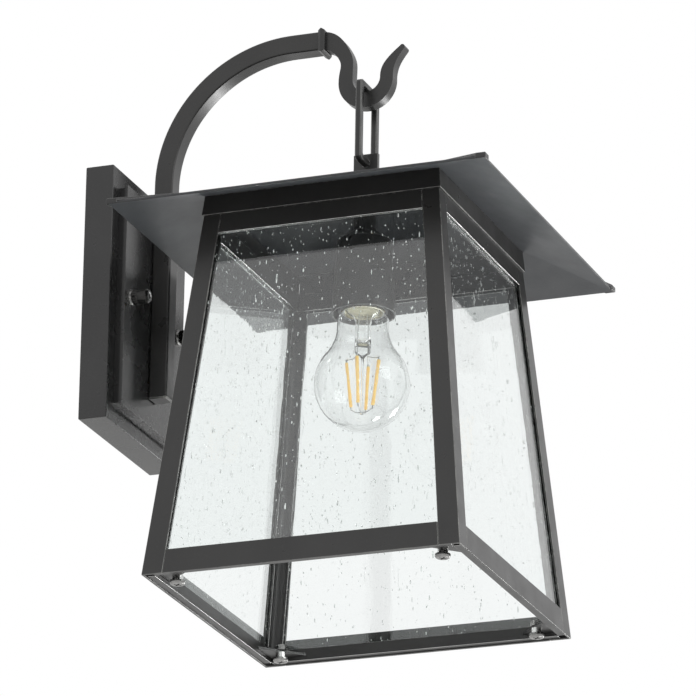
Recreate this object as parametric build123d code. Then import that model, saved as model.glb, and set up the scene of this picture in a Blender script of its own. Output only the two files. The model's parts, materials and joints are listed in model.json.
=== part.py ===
from build123d import *
import os

# Outdoor wall lantern. A square glazed lantern hangs by a rectangular ring from
# the hook of a wall bracket. The origin is the centre of the bracket's back face,
# on the wall. +Z is up and -Y points away from the wall. Millimetres.

# --- wall bracket ---
TRAY_WIDTH = 116.0
TRAY_HEIGHT = 168.5
TRAY_DEPTH = 19.0
SHEET = 1.6
PANEL_WIDTH = 96.0
PANEL_HEIGHT = 146.0
PANEL_FRONT = 25.0
PANEL_LIP = 2.2
NECK_STEP = 1.2
GASKET_SIDE = 3.0
STRAP_THICKNESS = 2.0
STRAP_BAR = 20.0
STRAP_WIDTH = 100.0
STRAP_HEIGHT = 116.0
STUD_SPACING = 78.0
STUD_RADIUS = 2.0
STUD_END = 31.0
SLOT_SPACING = 80.0
SLOT_LENGTH = 18.0
SLOT_RADIUS = 2.4
CAP_NUT_RADIUS = 4.7
CAP_NUT_LENGTH = 12.0
CAP_NUT_BEVEL = 1.4
WASHER_RADIUS = 5.4
WASHER_THICKNESS = 1.2
GROUND_HEAD_RADIUS = 3.8
GROUND_HEAD_HEIGHT = 2.4
GROUND_SLOT = 1.0
NUT_FLATS = 7.0
STUD_NUT_HEIGHT = 2.6

# --- arm and hook ---
ARM_SIDE = 12.5
ARM_WALL = 1.5
ARM_BOTTOM = -55.0
BEND_RADIUS = 86.0
BEND_Z = 87.5
ARM_END = 138.0
FOOT_CAP = 1.5
ARM_SCREW_Z = (-40.0, -12.0)
ARM_SCREW_HEAD = 4.0
ARM_SCREW_HEAD_HEIGHT = 3.0
ARM_SCREW_HEX = 1.6
ARM_SCREW_HEX_DEPTH = 2.0
ARM_SCREW_BITE = 2.0
ANCHOR_MARGIN = 10.0
COLLAR_LENGTH = 4.5
COLLAR_BASE = 6.9
COLLAR_RIDGE = 8.1
HOOK_THICKNESS = 8.0
HOOK_ROOT_HALF = 6.2
SPIGOT_LENGTH = 16.0
CUP_INNER = 8.9
CUP_OUTER = 18.4
CUP_Z = 144.0

# --- hanging ring ---
HANG_Y = -167.5
RING_WIDTH = 32.4
RING_TOP = 140.0
RING_BOTTOM = 85.0
RING_BAR = 4.4
RING_CHAMFER = 0.7

# --- lantern roof and cage ---
TAB_WIDTH = 16.4
TAB_THICKNESS = 3.0
TAB_TOP = 93.4
TAB_HOLE_RADIUS = 2.8
EAVE_HALF = 123.0
EAVE_Z = 30.0
PLATEAU_HALF = 12.0
PLATEAU_Z = 69.8
TAB_BASE_HALF = 11.0
TAB_BASE_HEIGHT = 4.5
TAB_BASE_BEVEL = 1.5
ROOF_SHEET = 1.6
HIP_WIDTH = 9.0
HIP_RISE = 2.0
HIP_OVERHANG = 1.2
CAGE_TOP = 33.2
CAGE_BOTTOM = -205.6
HALF_TOP = 77.8
HALF_BOTTOM = 102.5
SKIRT_TOP = 46.4
SKIRT_PROUD = 1.1
CAGE_SHEET = 1.5
POST_TOP_WIDTH = 11.5
POST_BOTTOM_WIDTH = 13.6
TOP_RAIL = 12.8
BOTTOM_RAIL = 15.5
SEAM = 0.15
GLASS = 3.0
GLASS_INSET = 1.8
CHANNEL_INSET = 5.1
CHANNEL_SHEET = 1.2
LOWER_LIP = 7.5
UPPER_LIP = 11.4
CHANNEL_RAISE = 0.8
ANGLE_LEG = 8.0
GUSSET_LEG = 23.0
GUSSET_SHEET = 1.5
GUSSET_Z = -202.1
SCREW_INSET = 17.0
SCREW_HEAD_RADIUS = 4.8
SCREW_HEAD_HEIGHT = 2.6
SCREW_HEAD_ROUND = 1.6
RECESS_LENGTH = 5.0
RECESS_WIDTH = 1.0
RECESS_DEPTH = 1.5
SCREW_RADIUS = 2.0
SCREW_END = 3.8
CORNER_NUT_HEIGHT = 3.0
SPACER_RADIUS = 3.3
SPACER_HEIGHT = 3.7

# --- socket ---
CUP_RIM_Z = -15.0
CUP_SHOULDER_Z = 33.5
CUP_NECK_Z = 41.5
CUP_RIM_RADIUS = 20.3
CUP_SHOULDER_RADIUS = 17.4
CUP_NECK_RADIUS = 7.5
CUP_WALL = 1.2
NIPPLE_RADIUS = 4.9
NIPPLE_BORE = 3.4
NIPPLE_LOW = 52.0
NIPPLE_ABOVE = 3.4
NECK_WASHER_RADIUS = 10.0
NECK_WASHER_THICKNESS = 1.0
SHELL_RADIUS = 13.35
SHELL_WALL = 0.4
BODY_RADIUS = 15.6
BODY_BOTTOM = -13.0
BODY_ABOVE = 8.0
CEILING_GAP = 1.0
RIVET_RADIUS = 3.0
TONGUE_LENGTH = 12.0
TONGUE_WIDTH = 5.0
TONGUE_THICKNESS = 0.6
SHELL_BOTTOM = -12.0
SHELL_TOP = 14.5

# --- bulb ---
GLOBE_RADIUS = 30.0
GLOBE_Z = -61.0
GLOBE_TURN = 40.0
BULB_WAIST_RADIUS = 16.6
BULB_WAIST_Z = -27.5
BULB_NECK_RADIUS = 16.2
BULB_NECK_Z = -18.0
BULB_COLLAR_RADIUS = 12.5
BULB_COLLAR_Z = -14.0
BULB_GLASS_TOP = -12.0
BULB_GLASS = 0.8
BASE_RADIUS = 13.25
BASE_WALL = 0.6
BASE_TOP = 8.0
BASE_TAPER = 2.0
INSULATOR_RADIUS = 10.6
CONTACT_RADIUS = 4.6
CONTACT_THICKNESS = 1.5
CONTACT_TOP = 12.5
STEM_FLARE = 10.5
STEM_RADIUS = 4.7
STEM_LOW = -31.0
PINCH_RADIUS = 3.4
PINCH_LOW = -41.0
ROD_RADIUS = 1.3
ROD_LOW = -79.0
FILAMENT_TOP = -44.0
FILAMENT_BOTTOM = -76.7
FILAMENT_RADIUS = 1.1
FILAMENT_COUNT = 4
FILAMENT_TOP_RING = 10.8
FILAMENT_BOTTOM_RING = 7.0
FILAMENT_TURN = 2.0
WIRE_RADIUS = 0.3
WIRE_GAP = 0.7

lantern = Pos(0, HANG_Y, 0)
arm_axis_y = -(PANEL_FRONT + ARM_SIDE / 2)
bend_y = arm_axis_y - BEND_RADIUS
arm_top_z = BEND_Z + BEND_RADIUS

os.makedirs("parts", exist_ok=True)


def save(name, shape):
    export_step(shape, f"parts/{name}.step")


def span(x0, x1, y0, y1, z0, z1):
    """A block between two corners."""
    centre = Pos((x0 + x1) / 2, (y0 + y1) / 2, (z0 + z1) / 2)
    return centre * Box(x1 - x0, y1 - y0, z1 - z0)


def plate(width, height, y0, y1, z=0.0):
    """A block parallel to the wall, centred on x = 0."""
    return span(-width / 2, width / 2, y0, y1, z - height / 2, z + height / 2)


def rod_y(radius, y0, y1, x, z):
    """A round rod square to the wall."""
    return Pos(x, (y0 + y1) / 2, z) * Rot(90, 0, 0) * Cylinder(radius, abs(y1 - y0))


def rod_z(radius, z0, z1, x=0.0, y=0.0):
    """An upright round rod."""
    return Pos(x, y, (z0 + z1) / 2) * Cylinder(radius, abs(z1 - z0))


def hex_nut(flats, height, bore):
    """A hexagon nut lying on the XY plane."""
    body = extrude(RegularPolygon(flats / 2, 6, major_radius=False), height)
    return body - Pos(0, 0, height / 2) * Cylinder(bore, 2 * height)


def frustum(z0, x0, y0, z1, x1, y1):
    """An upright tapered block with flat faces, given its half widths at two heights."""
    signs = [(-1, -1), (1, -1), (1, 1), (-1, 1)]
    low = [Vector(x * x0, y * y0, z0) for x, y in signs]
    high = [Vector(x * x1, y * y1, z1) for x, y in signs]
    outlines = [low, high]
    for index in range(4):
        after = (index + 1) % 4
        outlines.append([low[index], low[after], high[after], high[index]])
    faces = [Face(Wire.make_polygon(points)) for points in outlines]
    return Part() + Solid(Shell(faces))


def cage_half(z):
    """Outer half width of the tapered cage at a height."""
    share = (z - CAGE_BOTTOM) / (CAGE_TOP - CAGE_BOTTOM)
    return HALF_BOTTOM + (HALF_TOP - HALF_BOTTOM) * share


def post_width(z):
    share = (z - CAGE_BOTTOM) / (CAGE_TOP - CAGE_BOTTOM)
    return POST_BOTTOM_WIDTH + (POST_TOP_WIDTH - POST_BOTTOM_WIDTH) * share


def cage_skin(z0, z1, inset, thickness):
    """A square tapered skin, inset from the cage's outer faces."""
    a = cage_half(z0) - inset
    b = cage_half(z1) - inset
    inner = frustum(z0, a - thickness, a - thickness, z1, b - thickness, b - thickness)
    return frustum(z0, a, a, z1, b, b) - inner


def between_posts(z0, z1, edge, along_x):
    """The tapered space between two posts, 'edge' from the cage's corners."""
    a = cage_half(z0) - edge(z0)
    b = cage_half(z1) - edge(z1)
    reach = 2 * HALF_BOTTOM
    if along_x:
        return frustum(z0, a, reach, z1, b, reach)
    return frustum(z0, reach, a, z1, reach, b)


def corners_of(skin, z0, z1, edge):
    """The four corner angles that are left of a skin, as separate solids."""
    rest = skin - between_posts(z0, z1, edge, True)
    return (rest - between_posts(z0, z1, edge, False)).solids()


def sides_of(skin, z0, z1, edge):
    """The four flat sides of a skin between its corners, as separate solids."""
    front_back = skin & between_posts(z0, z1, edge, True)
    left_right = skin & between_posts(z0, z1, edge, False)
    return front_back.solids() + left_right.solids()


def side_name(solid):
    """Names a cage side by where it lies: the front faces away from the wall."""
    centre = solid.center()
    if abs(centre.X) > abs(centre.Y):
        return "left" if centre.X < 0 else "right"
    return "front" if centre.Y < 0 else "back"


def corner_name(solid):
    centre = solid.center()
    depth = "front" if centre.Y < 0 else "back"
    side = "left" if centre.X < 0 else "right"
    return f"{depth}_{side}"


def group(solids):
    """Several solids that share a node, placed on the lantern."""
    return lantern * Compound(children=list(solids))


def corner_points(offset):
    return [(x * offset, y * offset) for x in (-1, 1) for y in (-1, 1)]


# ------------------------------------------------------------------ bracket

def make_bracket():
    tray_front = -TRAY_DEPTH
    tray = plate(TRAY_WIDTH, TRAY_HEIGHT, tray_front, 0)
    tray -= plate(TRAY_WIDTH - 2 * SHEET, TRAY_HEIGHT - 2 * SHEET, tray_front + SHEET, 1)
    neck_width = PANEL_WIDTH - 2 * NECK_STEP
    neck_height = PANEL_HEIGHT - 2 * NECK_STEP
    opening = neck_width - 2 * SHEET
    tray -= plate(opening, neck_height - 2 * SHEET, tray_front - 1, 0)
    save("backplate_tray", tray)

    lip_back = -(PANEL_FRONT - PANEL_LIP)
    panel = plate(PANEL_WIDTH, PANEL_HEIGHT, -PANEL_FRONT, lip_back)
    panel += plate(neck_width, neck_height, lip_back, tray_front)
    hollow = plate(opening, neck_height - 2 * SHEET, -PANEL_FRONT + SHEET, tray_front + 1)
    panel -= hollow
    stud_x = STUD_SPACING / 2
    for x in (-stud_x, stud_x):
        panel -= rod_y(STUD_RADIUS + 0.3, -PANEL_FRONT - 1, 0, x, 0)
    for z in ARM_SCREW_Z:
        panel -= rod_y(STUD_RADIUS + 0.1, -PANEL_FRONT - 1, 0, 0, z)
    save("backplate_panel", panel)

    rim_width = TRAY_WIDTH - 2 * SHEET
    rim_height = TRAY_HEIGHT - 2 * SHEET
    gasket = plate(rim_width, rim_height, -GASKET_SIDE, 0)
    hole_width = rim_width - 2 * GASKET_SIDE
    hole_height = rim_height - 2 * GASKET_SIDE
    gasket -= plate(hole_width, hole_height, -GASKET_SIDE - 1, 1)
    save("wall_gasket", gasket)

    strap = plate(STRAP_WIDTH, STRAP_BAR, -STRAP_THICKNESS, 0)
    strap += plate(STRAP_BAR, STRAP_HEIGHT, -STRAP_THICKNESS, 0)
    for x in (-stud_x, stud_x):
        strap -= rod_y(STUD_RADIUS, -STRAP_THICKNESS - 1, 1, x, 0)
    for z in (-SLOT_SPACING / 2, SLOT_SPACING / 2):
        half = SLOT_LENGTH / 2 - SLOT_RADIUS
        slot = plate(2 * SLOT_RADIUS, 2 * half, -STRAP_THICKNESS - 1, 1, z)
        for end in (z - half, z + half):
            slot += rod_y(SLOT_RADIUS, -STRAP_THICKNESS - 1, 1, 0, end)
        strap -= slot
    ground_x = -STUD_SPACING / 4
    strap -= rod_y(STUD_RADIUS, -STRAP_THICKNESS - 1, 1, ground_x, 0)
    save("mounting_strap", strap)

    head_front = -STRAP_THICKNESS - GROUND_HEAD_HEIGHT
    ground = rod_y(GROUND_HEAD_RADIUS, head_front, -STRAP_THICKNESS, ground_x, 0)
    slot_end = GROUND_HEAD_RADIUS - GROUND_SLOT
    slot = plate(2 * slot_end, GROUND_SLOT, head_front - 1, head_front + GROUND_SLOT)
    ground -= Pos(ground_x, 0, 0) * slot
    ground += rod_y(STUD_RADIUS, -STRAP_THICKNESS, 0, ground_x, 0)
    save("ground_screw", ground)

    studs = [rod_y(STUD_RADIUS, -STUD_END, 0, x, 0) for x in (-stud_x, stud_x)]
    save("mounting_studs", Compound(children=studs))

    nut = Rot(90, 0, 0) * hex_nut(NUT_FLATS, STUD_NUT_HEIGHT, STUD_RADIUS)
    nuts = [Pos(x, -STRAP_THICKNESS, 0) * nut for x in (-stud_x, stud_x)]
    save("stud_lock_nuts", Compound(children=nuts))

    washer_front = -PANEL_FRONT - WASHER_THICKNESS
    washers = []
    caps = []
    for x in (-stud_x, stud_x):
        hole = rod_y(STUD_RADIUS + 0.2, washer_front - 1, 0, x, 0)
        washers.append(rod_y(WASHER_RADIUS, washer_front, -PANEL_FRONT, x, 0) - hole)
        cap = rod_y(CAP_NUT_RADIUS, washer_front - CAP_NUT_LENGTH, washer_front, x, 0)
        rim = cap.edges().sort_by(Axis.Y)[0]
        cap = chamfer(rim, CAP_NUT_BEVEL)
        caps.append(cap - rod_y(STUD_RADIUS, -STUD_END, 0, x, 0))
    save("cap_washers", Compound(children=washers))
    save("cap_nuts", Compound(children=caps))


# ---------------------------------------------------------------------- arm

def arm_band(side):
    """The arm's solid path for a square section of the given side."""
    half = side / 2
    upright = span(-half, half, arm_axis_y - half, arm_axis_y + half, ARM_BOTTOM, BEND_Z)
    ring = Cylinder(BEND_RADIUS + half, side) - Cylinder(BEND_RADIUS - half, side)
    ring = Pos(0, bend_y, BEND_Z) * Rot(0, 90, 0) * ring
    reach = BEND_RADIUS + side
    bend = ring & span(-side, side, bend_y, bend_y + reach, BEND_Z, BEND_Z + reach)
    level = span(-half, half, -ARM_END, bend_y, arm_top_z - half, arm_top_z + half)
    return upright + bend + level


def make_arm():
    tube = arm_band(ARM_SIDE) - arm_band(ARM_SIDE - 2 * ARM_WALL)
    for z in ARM_SCREW_Z:
        tube -= rod_y(STUD_RADIUS + 0.1, -PANEL_FRONT - ARM_WALL - 0.5, 0, 0, z)
    save("arm_tube", tube)

    half = ARM_SIDE / 2
    foot_y0 = arm_axis_y - half
    foot = span(-half, half, foot_y0, foot_y0 + ARM_SIDE, ARM_BOTTOM - FOOT_CAP, ARM_BOTTOM)
    foot = chamfer(foot.edges().group_by(Axis.Z)[0], 0.8)
    save("arm_foot_cap", foot)

    inner = ARM_SIDE / 2 - ARM_WALL - 0.05
    low = min(ARM_SCREW_Z) - ANCHOR_MARGIN
    high = max(ARM_SCREW_Z) + ANCHOR_MARGIN
    block = span(-inner, inner, arm_axis_y - inner, arm_axis_y + inner, low, high)
    screws = []
    head_front = -PANEL_FRONT + SHEET
    head_back = head_front + ARM_SCREW_HEAD_HEIGHT
    screw_tip = arm_axis_y - ARM_SCREW_BITE
    hexagon = extrude(RegularPolygon(ARM_SCREW_HEX, 6), ARM_SCREW_HEX_DEPTH)
    for z in ARM_SCREW_Z:
        block -= rod_y(STUD_RADIUS, screw_tip, 0, 0, z)
        shank = rod_y(STUD_RADIUS, screw_tip, head_front, 0, z)
        head = rod_y(ARM_SCREW_HEAD, head_front, head_back, 0, z)
        screws.append(shank + head - Pos(0, head_back, z) * Rot(90, 0, 0) * hexagon)
    save("arm_anchor_block", block)
    save("arm_screws", Compound(children=screws))

    middle = -ARM_END + 0.2
    front = middle - COLLAR_LENGTH / 2
    half_length = COLLAR_LENGTH / 2
    ridge = COLLAR_RIDGE
    base = COLLAR_BASE
    front_half = frustum(0, ridge, ridge, half_length, base, base)
    back_half = frustum(-half_length, base, base, 0, ridge, ridge)
    collar = Pos(0, middle, arm_top_z) * Rot(90, 0, 0) * (front_half + back_half)
    bore = ARM_SIDE + 0.1
    collar -= plate(bore, bore, -ARM_END - 10, -ARM_END + 10, arm_top_z)
    save("arm_collar", collar)
    return front


def make_hook(collar_front):
    """A flat cast hook. Its outline runs from the collar down and round the cup."""
    def beside_cup(toward_wall, above):
        return (HANG_Y + toward_wall, CUP_Z + above)

    root_top = (collar_front, arm_top_z + HOOK_ROOT_HALF)
    root_low = (collar_front, arm_top_z - HOOK_ROOT_HALF)
    brow = beside_cup(16.3, 29.0)
    nape = beside_cup(9.5, 17.0)
    throat = beside_cup(CUP_INNER, 0)
    cup_low = beside_cup(0, -CUP_INNER)
    inner_far = beside_cup(-CUP_INNER - 0.8, 0.6)
    beak_inner = beside_cup(-14.9, 12.6)
    tip_inner = beside_cup(-22.8, 19.6)
    tip_end = beside_cup(-25.4, 20.2)
    tip_outer = beside_cup(-25.6, 17.6)
    beak_outer = beside_cup(-20.7, 10.2)
    outer_far = beside_cup(-CUP_OUTER, 0)
    outer_low = beside_cup(0, -CUP_OUTER - 1.0)
    outer_near = beside_cup(CUP_OUTER, 0)
    heel_low = beside_cup(17.5, 13.6)
    heel_top = beside_cup(22.3, 20.6)
    down = (0, -1)
    up = (0, 1)
    outline = [
        Spline(root_top, brow, nape, throat, tangents=((-1, -0.18), down)),
        ThreePointArc(throat, cup_low, inner_far),
        Spline(inner_far, beak_inner, tip_inner, tangents=(up, (-1, 0.75))),
        ThreePointArc(tip_inner, tip_end, tip_outer),
        Spline(tip_outer, beak_outer, outer_far, tangents=((0.75, -1), down)),
        ThreePointArc(outer_far, outer_low, outer_near),
        Spline(outer_near, heel_low, heel_top, root_low, tangents=(up, (1, 0.3))),
        Line(root_low, root_top),
    ]
    profile = Plane.YZ * make_face(Curve() + outline)
    hook = extrude(profile, HOOK_THICKNESS / 2, both=True)
    hook += plate(ARM_SIDE, ARM_SIDE, collar_front, -ARM_END, arm_top_z)
    spigot = ARM_SIDE - 2 * ARM_WALL - 0.1
    hook += plate(spigot, spigot, -ARM_END, -ARM_END + SPIGOT_LENGTH, arm_top_z)
    save("hook", hook)


def make_ring():
    height = RING_TOP - RING_BOTTOM
    outer = Rectangle(RING_WIDTH, height)
    outer = chamfer(outer.vertices(), 2.2)
    inner = Rectangle(RING_WIDTH - 2 * RING_BAR, height - 2 * RING_BAR)
    face = Plane.XZ * (outer - inner)
    ring = extrude(face, RING_BAR / 2, both=True)
    ring = chamfer(ring.edges(), RING_CHAMFER)
    save("hanging_ring", Pos(0, HANG_Y, (RING_TOP + RING_BOTTOM) / 2) * ring)


# --------------------------------------------------------------------- roof

def make_roof():
    half = EAVE_HALF
    under = frustum(EAVE_Z, half, half, PLATEAU_Z, PLATEAU_HALF, PLATEAU_HALF)
    over = Pos(0, 0, ROOF_SHEET) * under
    over += span(-half, half, -half, half, EAVE_Z, EAVE_Z + ROOF_SHEET)
    sheet = over - under - rod_z(NIPPLE_RADIUS + 0.2, PLATEAU_Z - 1, PLATEAU_Z + 5)
    save("roof_sheet", lantern * sheet)

    end = EAVE_HALF + HIP_OVERHANG
    lift = ROOF_SHEET + HIP_RISE
    fall = (PLATEAU_Z - EAVE_Z) / (EAVE_HALF - PLATEAU_HALF) * HIP_OVERHANG
    edge_z = EAVE_Z - fall + lift
    raised = frustum(edge_z, end, end, PLATEAU_Z + lift, PLATEAU_HALF, PLATEAU_HALF)
    raised += span(-end, end, -end, end, EAVE_Z, edge_z)
    cap_stock = raised - over - under
    caps = []
    for turn in (45, 135, 225, 315):
        inner_end = PLATEAU_HALF * 1.45
        strip = Rot(0, 0, turn) * span(inner_end, 2 * end, -HIP_WIDTH / 2, HIP_WIDTH / 2, 0, 100)
        caps.append((cap_stock & strip).solids().sort_by(SortBy.VOLUME)[-1])
    save("roof_hip_caps", group(caps))

    low = cage_half(CAGE_TOP) + SKIRT_PROUD
    high = cage_half(SKIRT_TOP) + SKIRT_PROUD
    inside = CAGE_SHEET + SKIRT_PROUD
    skirt = frustum(CAGE_TOP, low, low, SKIRT_TOP, high, high)
    low -= inside
    high -= inside
    skirt -= frustum(CAGE_TOP, low, low, SKIRT_TOP, high, high)
    save("roof_skirt", lantern * (skirt & under))

    plateau_top = PLATEAU_Z + ROOF_SHEET
    base_top = plateau_top + TAB_BASE_HEIGHT
    side = TAB_BASE_HALF
    base = span(-side, side, -side, side, plateau_top, base_top)
    base = chamfer(base.edges().group_by(Axis.Z)[-1], TAB_BASE_BEVEL)
    half_x = TAB_THICKNESS / 2
    half_y = TAB_WIDTH / 2
    tab = base + span(-half_x, half_x, -half_y, half_y, base_top, TAB_TOP)
    pivot_z = RING_BOTTOM + RING_BAR / 2
    tab -= Pos(0, 0, pivot_z) * Rot(0, 90, 0) * Cylinder(TAB_HOLE_RADIUS, 2 * TAB_THICKNESS)
    tab -= rod_z(NIPPLE_RADIUS, plateau_top - 1, plateau_top + NIPPLE_ABOVE + 0.1)
    save("stem_tab", lantern * tab)


# --------------------------------------------------------------------- cage

def make_cage():
    skin = cage_skin(CAGE_BOTTOM, CAGE_TOP, 0, CAGE_SHEET)
    for post in corners_of(skin, CAGE_BOTTOM, CAGE_TOP, post_width):
        save(f"post_{corner_name(post)}", lantern * post)

    rails = {
        "bottom_rail": (CAGE_BOTTOM, CAGE_BOTTOM + BOTTOM_RAIL),
        "top_rail": (CAGE_TOP - TOP_RAIL, CAGE_TOP),
    }
    for name, (z0, z1) in rails.items():
        band = cage_skin(z0, z1, 0, CAGE_SHEET)
        for rail in sides_of(band, z0, z1, lambda z: post_width(z) + SEAM):
            save(f"{name}_{side_name(rail)}", lantern * rail)

    low = CAGE_BOTTOM + CHANNEL_RAISE + CHANNEL_SHEET
    high = CAGE_TOP - CHANNEL_RAISE - CHANNEL_SHEET
    stock = cage_skin(low, high, GLASS_INSET, GLASS)
    for pane in sides_of(stock, low, high, lambda z: GLASS_INSET + GLASS + 0.3):
        save(f"glass_{side_name(pane)}", lantern * pane)

    lower = []
    upper = []
    foot = CAGE_BOTTOM + CHANNEL_RAISE
    head = CAGE_TOP - CHANNEL_RAISE
    width = CHANNEL_INSET + CHANNEL_SHEET - CAGE_SHEET
    for z0, z1, web0, web1, kept in (
        (foot, foot + LOWER_LIP, foot, foot + CHANNEL_SHEET, lower),
        (head - UPPER_LIP, head, head - CHANNEL_SHEET, head, upper),
    ):
        ring = cage_skin(z0, z1, CHANNEL_INSET, CHANNEL_SHEET)
        ring += cage_skin(web0, web1, CAGE_SHEET, width)
        kept.extend(sides_of(ring, z0, z1, lambda z: CHANNEL_INSET + CHANNEL_SHEET + 0.3))
    save("lower_glass_channels", group(lower))
    save("upper_glass_channels", group(upper))

    z0 = foot + LOWER_LIP + 1
    z1 = head - UPPER_LIP - 1
    stock = cage_skin(z0, z1, CHANNEL_INSET, CHANNEL_SHEET)
    angles = corners_of(stock, z0, z1, lambda z: CHANNEL_INSET + ANGLE_LEG)
    save("corner_glass_angles", group(angles))


def make_corner_fixings():
    """A gusset in each bottom corner, held up by a screw, a spacer and a nut."""
    top = GUSSET_Z + GUSSET_SHEET
    corner = cage_half(top) - CHANNEL_INSET - CHANNEL_SHEET - 0.1
    screw = HALF_BOTTOM - SCREW_INSET
    triangle = make_face(Polyline((0, 0), (GUSSET_LEG, 0), (0, GUSSET_LEG), close=True))
    low = top - GUSSET_SHEET
    spacer_low = low - SPACER_HEIGHT
    head_low = spacer_low - SCREW_HEAD_HEIGHT
    slot = Box(RECESS_LENGTH, RECESS_WIDTH, 2 * RECESS_DEPTH)
    hexagon = hex_nut(NUT_FLATS, CORNER_NUT_HEIGHT, SCREW_RADIUS)
    gussets = []
    spacers = []
    screws = []
    nuts = []
    for x, y in corner_points(1):
        outline = Pos(x * corner, y * corner) * scale(triangle, by=(-x, -y, 1))
        gusset = Pos(0, 0, low) * extrude(outline, GUSSET_SHEET, dir=(0, 0, 1))
        place = (x * screw, y * screw)
        hole = rod_z(SCREW_RADIUS, head_low, top + SCREW_END, *place)
        gussets.append((gusset - hole).solids()[0])
        spacers.append(rod_z(SPACER_RADIUS, spacer_low, low, *place) - hole)
        head = rod_z(SCREW_HEAD_RADIUS, head_low, spacer_low, *place)
        head = fillet(head.edges().sort_by(Axis.Z)[0], SCREW_HEAD_ROUND)
        for turn in (45, 135):
            head -= Pos(*place, head_low) * Rot(0, 0, turn) * slot
        shank = rod_z(SCREW_RADIUS, spacer_low, top + SCREW_END, *place)
        screws.append(head + shank)
        nuts.append(Pos(*place, top) * hexagon)
    save("corner_gussets", group(gussets))
    save("corner_spacers", group(spacers))
    save("corner_screws", group(screws))
    save("corner_nuts", group(nuts))


# ------------------------------------------------------------------- socket

def turned(points):
    """A solid turned about the lantern's axis from (radius, z) points."""
    profile = make_face(Polyline(*points, close=True))
    return revolve(Plane.XZ * profile, Axis.Z)


def make_socket():
    nipple_top = PLATEAU_Z + ROOF_SHEET + NIPPLE_ABOVE
    washer_low = PLATEAU_Z - NECK_WASHER_THICKNESS
    washer = rod_z(NECK_WASHER_RADIUS, washer_low, PLATEAU_Z)
    washer -= rod_z(NIPPLE_RADIUS + 0.1, washer_low, PLATEAU_Z)
    save("neck_washer", lantern * washer)

    nipple = rod_z(NIPPLE_RADIUS, NIPPLE_LOW, nipple_top)
    nipple -= rod_z(NIPPLE_BORE, NIPPLE_LOW, nipple_top)
    save("threaded_nipple", lantern * nipple)

    inner_rim = CUP_RIM_RADIUS - CUP_WALL
    inner_shoulder = CUP_SHOULDER_RADIUS - CUP_WALL
    bore = NIPPLE_RADIUS
    cup = turned([
        (bore, washer_low), (CUP_NECK_RADIUS, washer_low),
        (CUP_NECK_RADIUS, CUP_NECK_Z), (CUP_SHOULDER_RADIUS, CUP_SHOULDER_Z),
        (CUP_RIM_RADIUS, CUP_RIM_Z), (inner_rim, CUP_RIM_Z),
        (inner_shoulder, CUP_SHOULDER_Z - 1.0), (bore + 1.2, CUP_NECK_Z - 1.2),
        (bore, CUP_NECK_Z),
    ])
    save("socket_cup", lantern * cup)

    shell_outer = SHELL_RADIUS + SHELL_WALL
    body_top = SHELL_TOP + BODY_ABOVE
    ceiling = SHELL_TOP + CEILING_GAP
    body = turned([
        (shell_outer, BODY_BOTTOM), (BODY_RADIUS, BODY_BOTTOM),
        (BODY_RADIUS, body_top), (RIVET_RADIUS, body_top),
        (RIVET_RADIUS, ceiling), (shell_outer, ceiling),
    ])
    save("socket_body", lantern * body)

    shell = turned([
        (SHELL_RADIUS, SHELL_BOTTOM), (shell_outer, SHELL_BOTTOM),
        (shell_outer, SHELL_TOP), (SHELL_RADIUS, SHELL_TOP),
    ])
    save("socket_shell", lantern * shell)

    strip_low = ceiling - TONGUE_THICKNESS
    half_length = TONGUE_LENGTH / 2
    half_width = TONGUE_WIDTH / 2
    tongue = span(-half_length, half_length, -half_width, half_width, strip_low, ceiling)
    tongue += rod_z(RIVET_RADIUS - 0.4, CONTACT_TOP + 0.3, strip_low)
    tongue += rod_z(RIVET_RADIUS / 2, ceiling, body_top + 1.0)
    save("socket_contact", lantern * tongue)


# --------------------------------------------------------------------- bulb

def bulb_outline(wall):
    """The bulb's glass as a solid of revolution, 'wall' inside its outer surface."""
    radius = GLOBE_RADIUS - wall
    turn = Vector(1, 0).rotate(Axis.Z, GLOBE_TURN)
    start = (0, GLOBE_Z - radius)
    side = (radius, GLOBE_Z)
    shoulder = (radius * turn.X, GLOBE_Z + radius * turn.Y)
    waist = (BULB_WAIST_RADIUS - wall, BULB_WAIST_Z)
    neck = (BULB_NECK_RADIUS - wall, BULB_NECK_Z)
    collar = (BULB_COLLAR_RADIUS - wall, BULB_COLLAR_Z)
    top = (BULB_COLLAR_RADIUS - wall, BULB_GLASS_TOP)
    up = (0, 1)
    curve = Spline(shoulder, waist, neck, tangents=((-turn.Y, turn.X), up))
    turn_in = Spline(neck, collar, tangents=(up, (-1, 0.3)))
    rest = Polyline(collar, top, (0, BULB_GLASS_TOP), start)
    face = make_face(ThreePointArc(start, side, shoulder) + curve + turn_in + rest)
    return revolve(Plane.XZ * face, Axis.Z)


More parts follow.
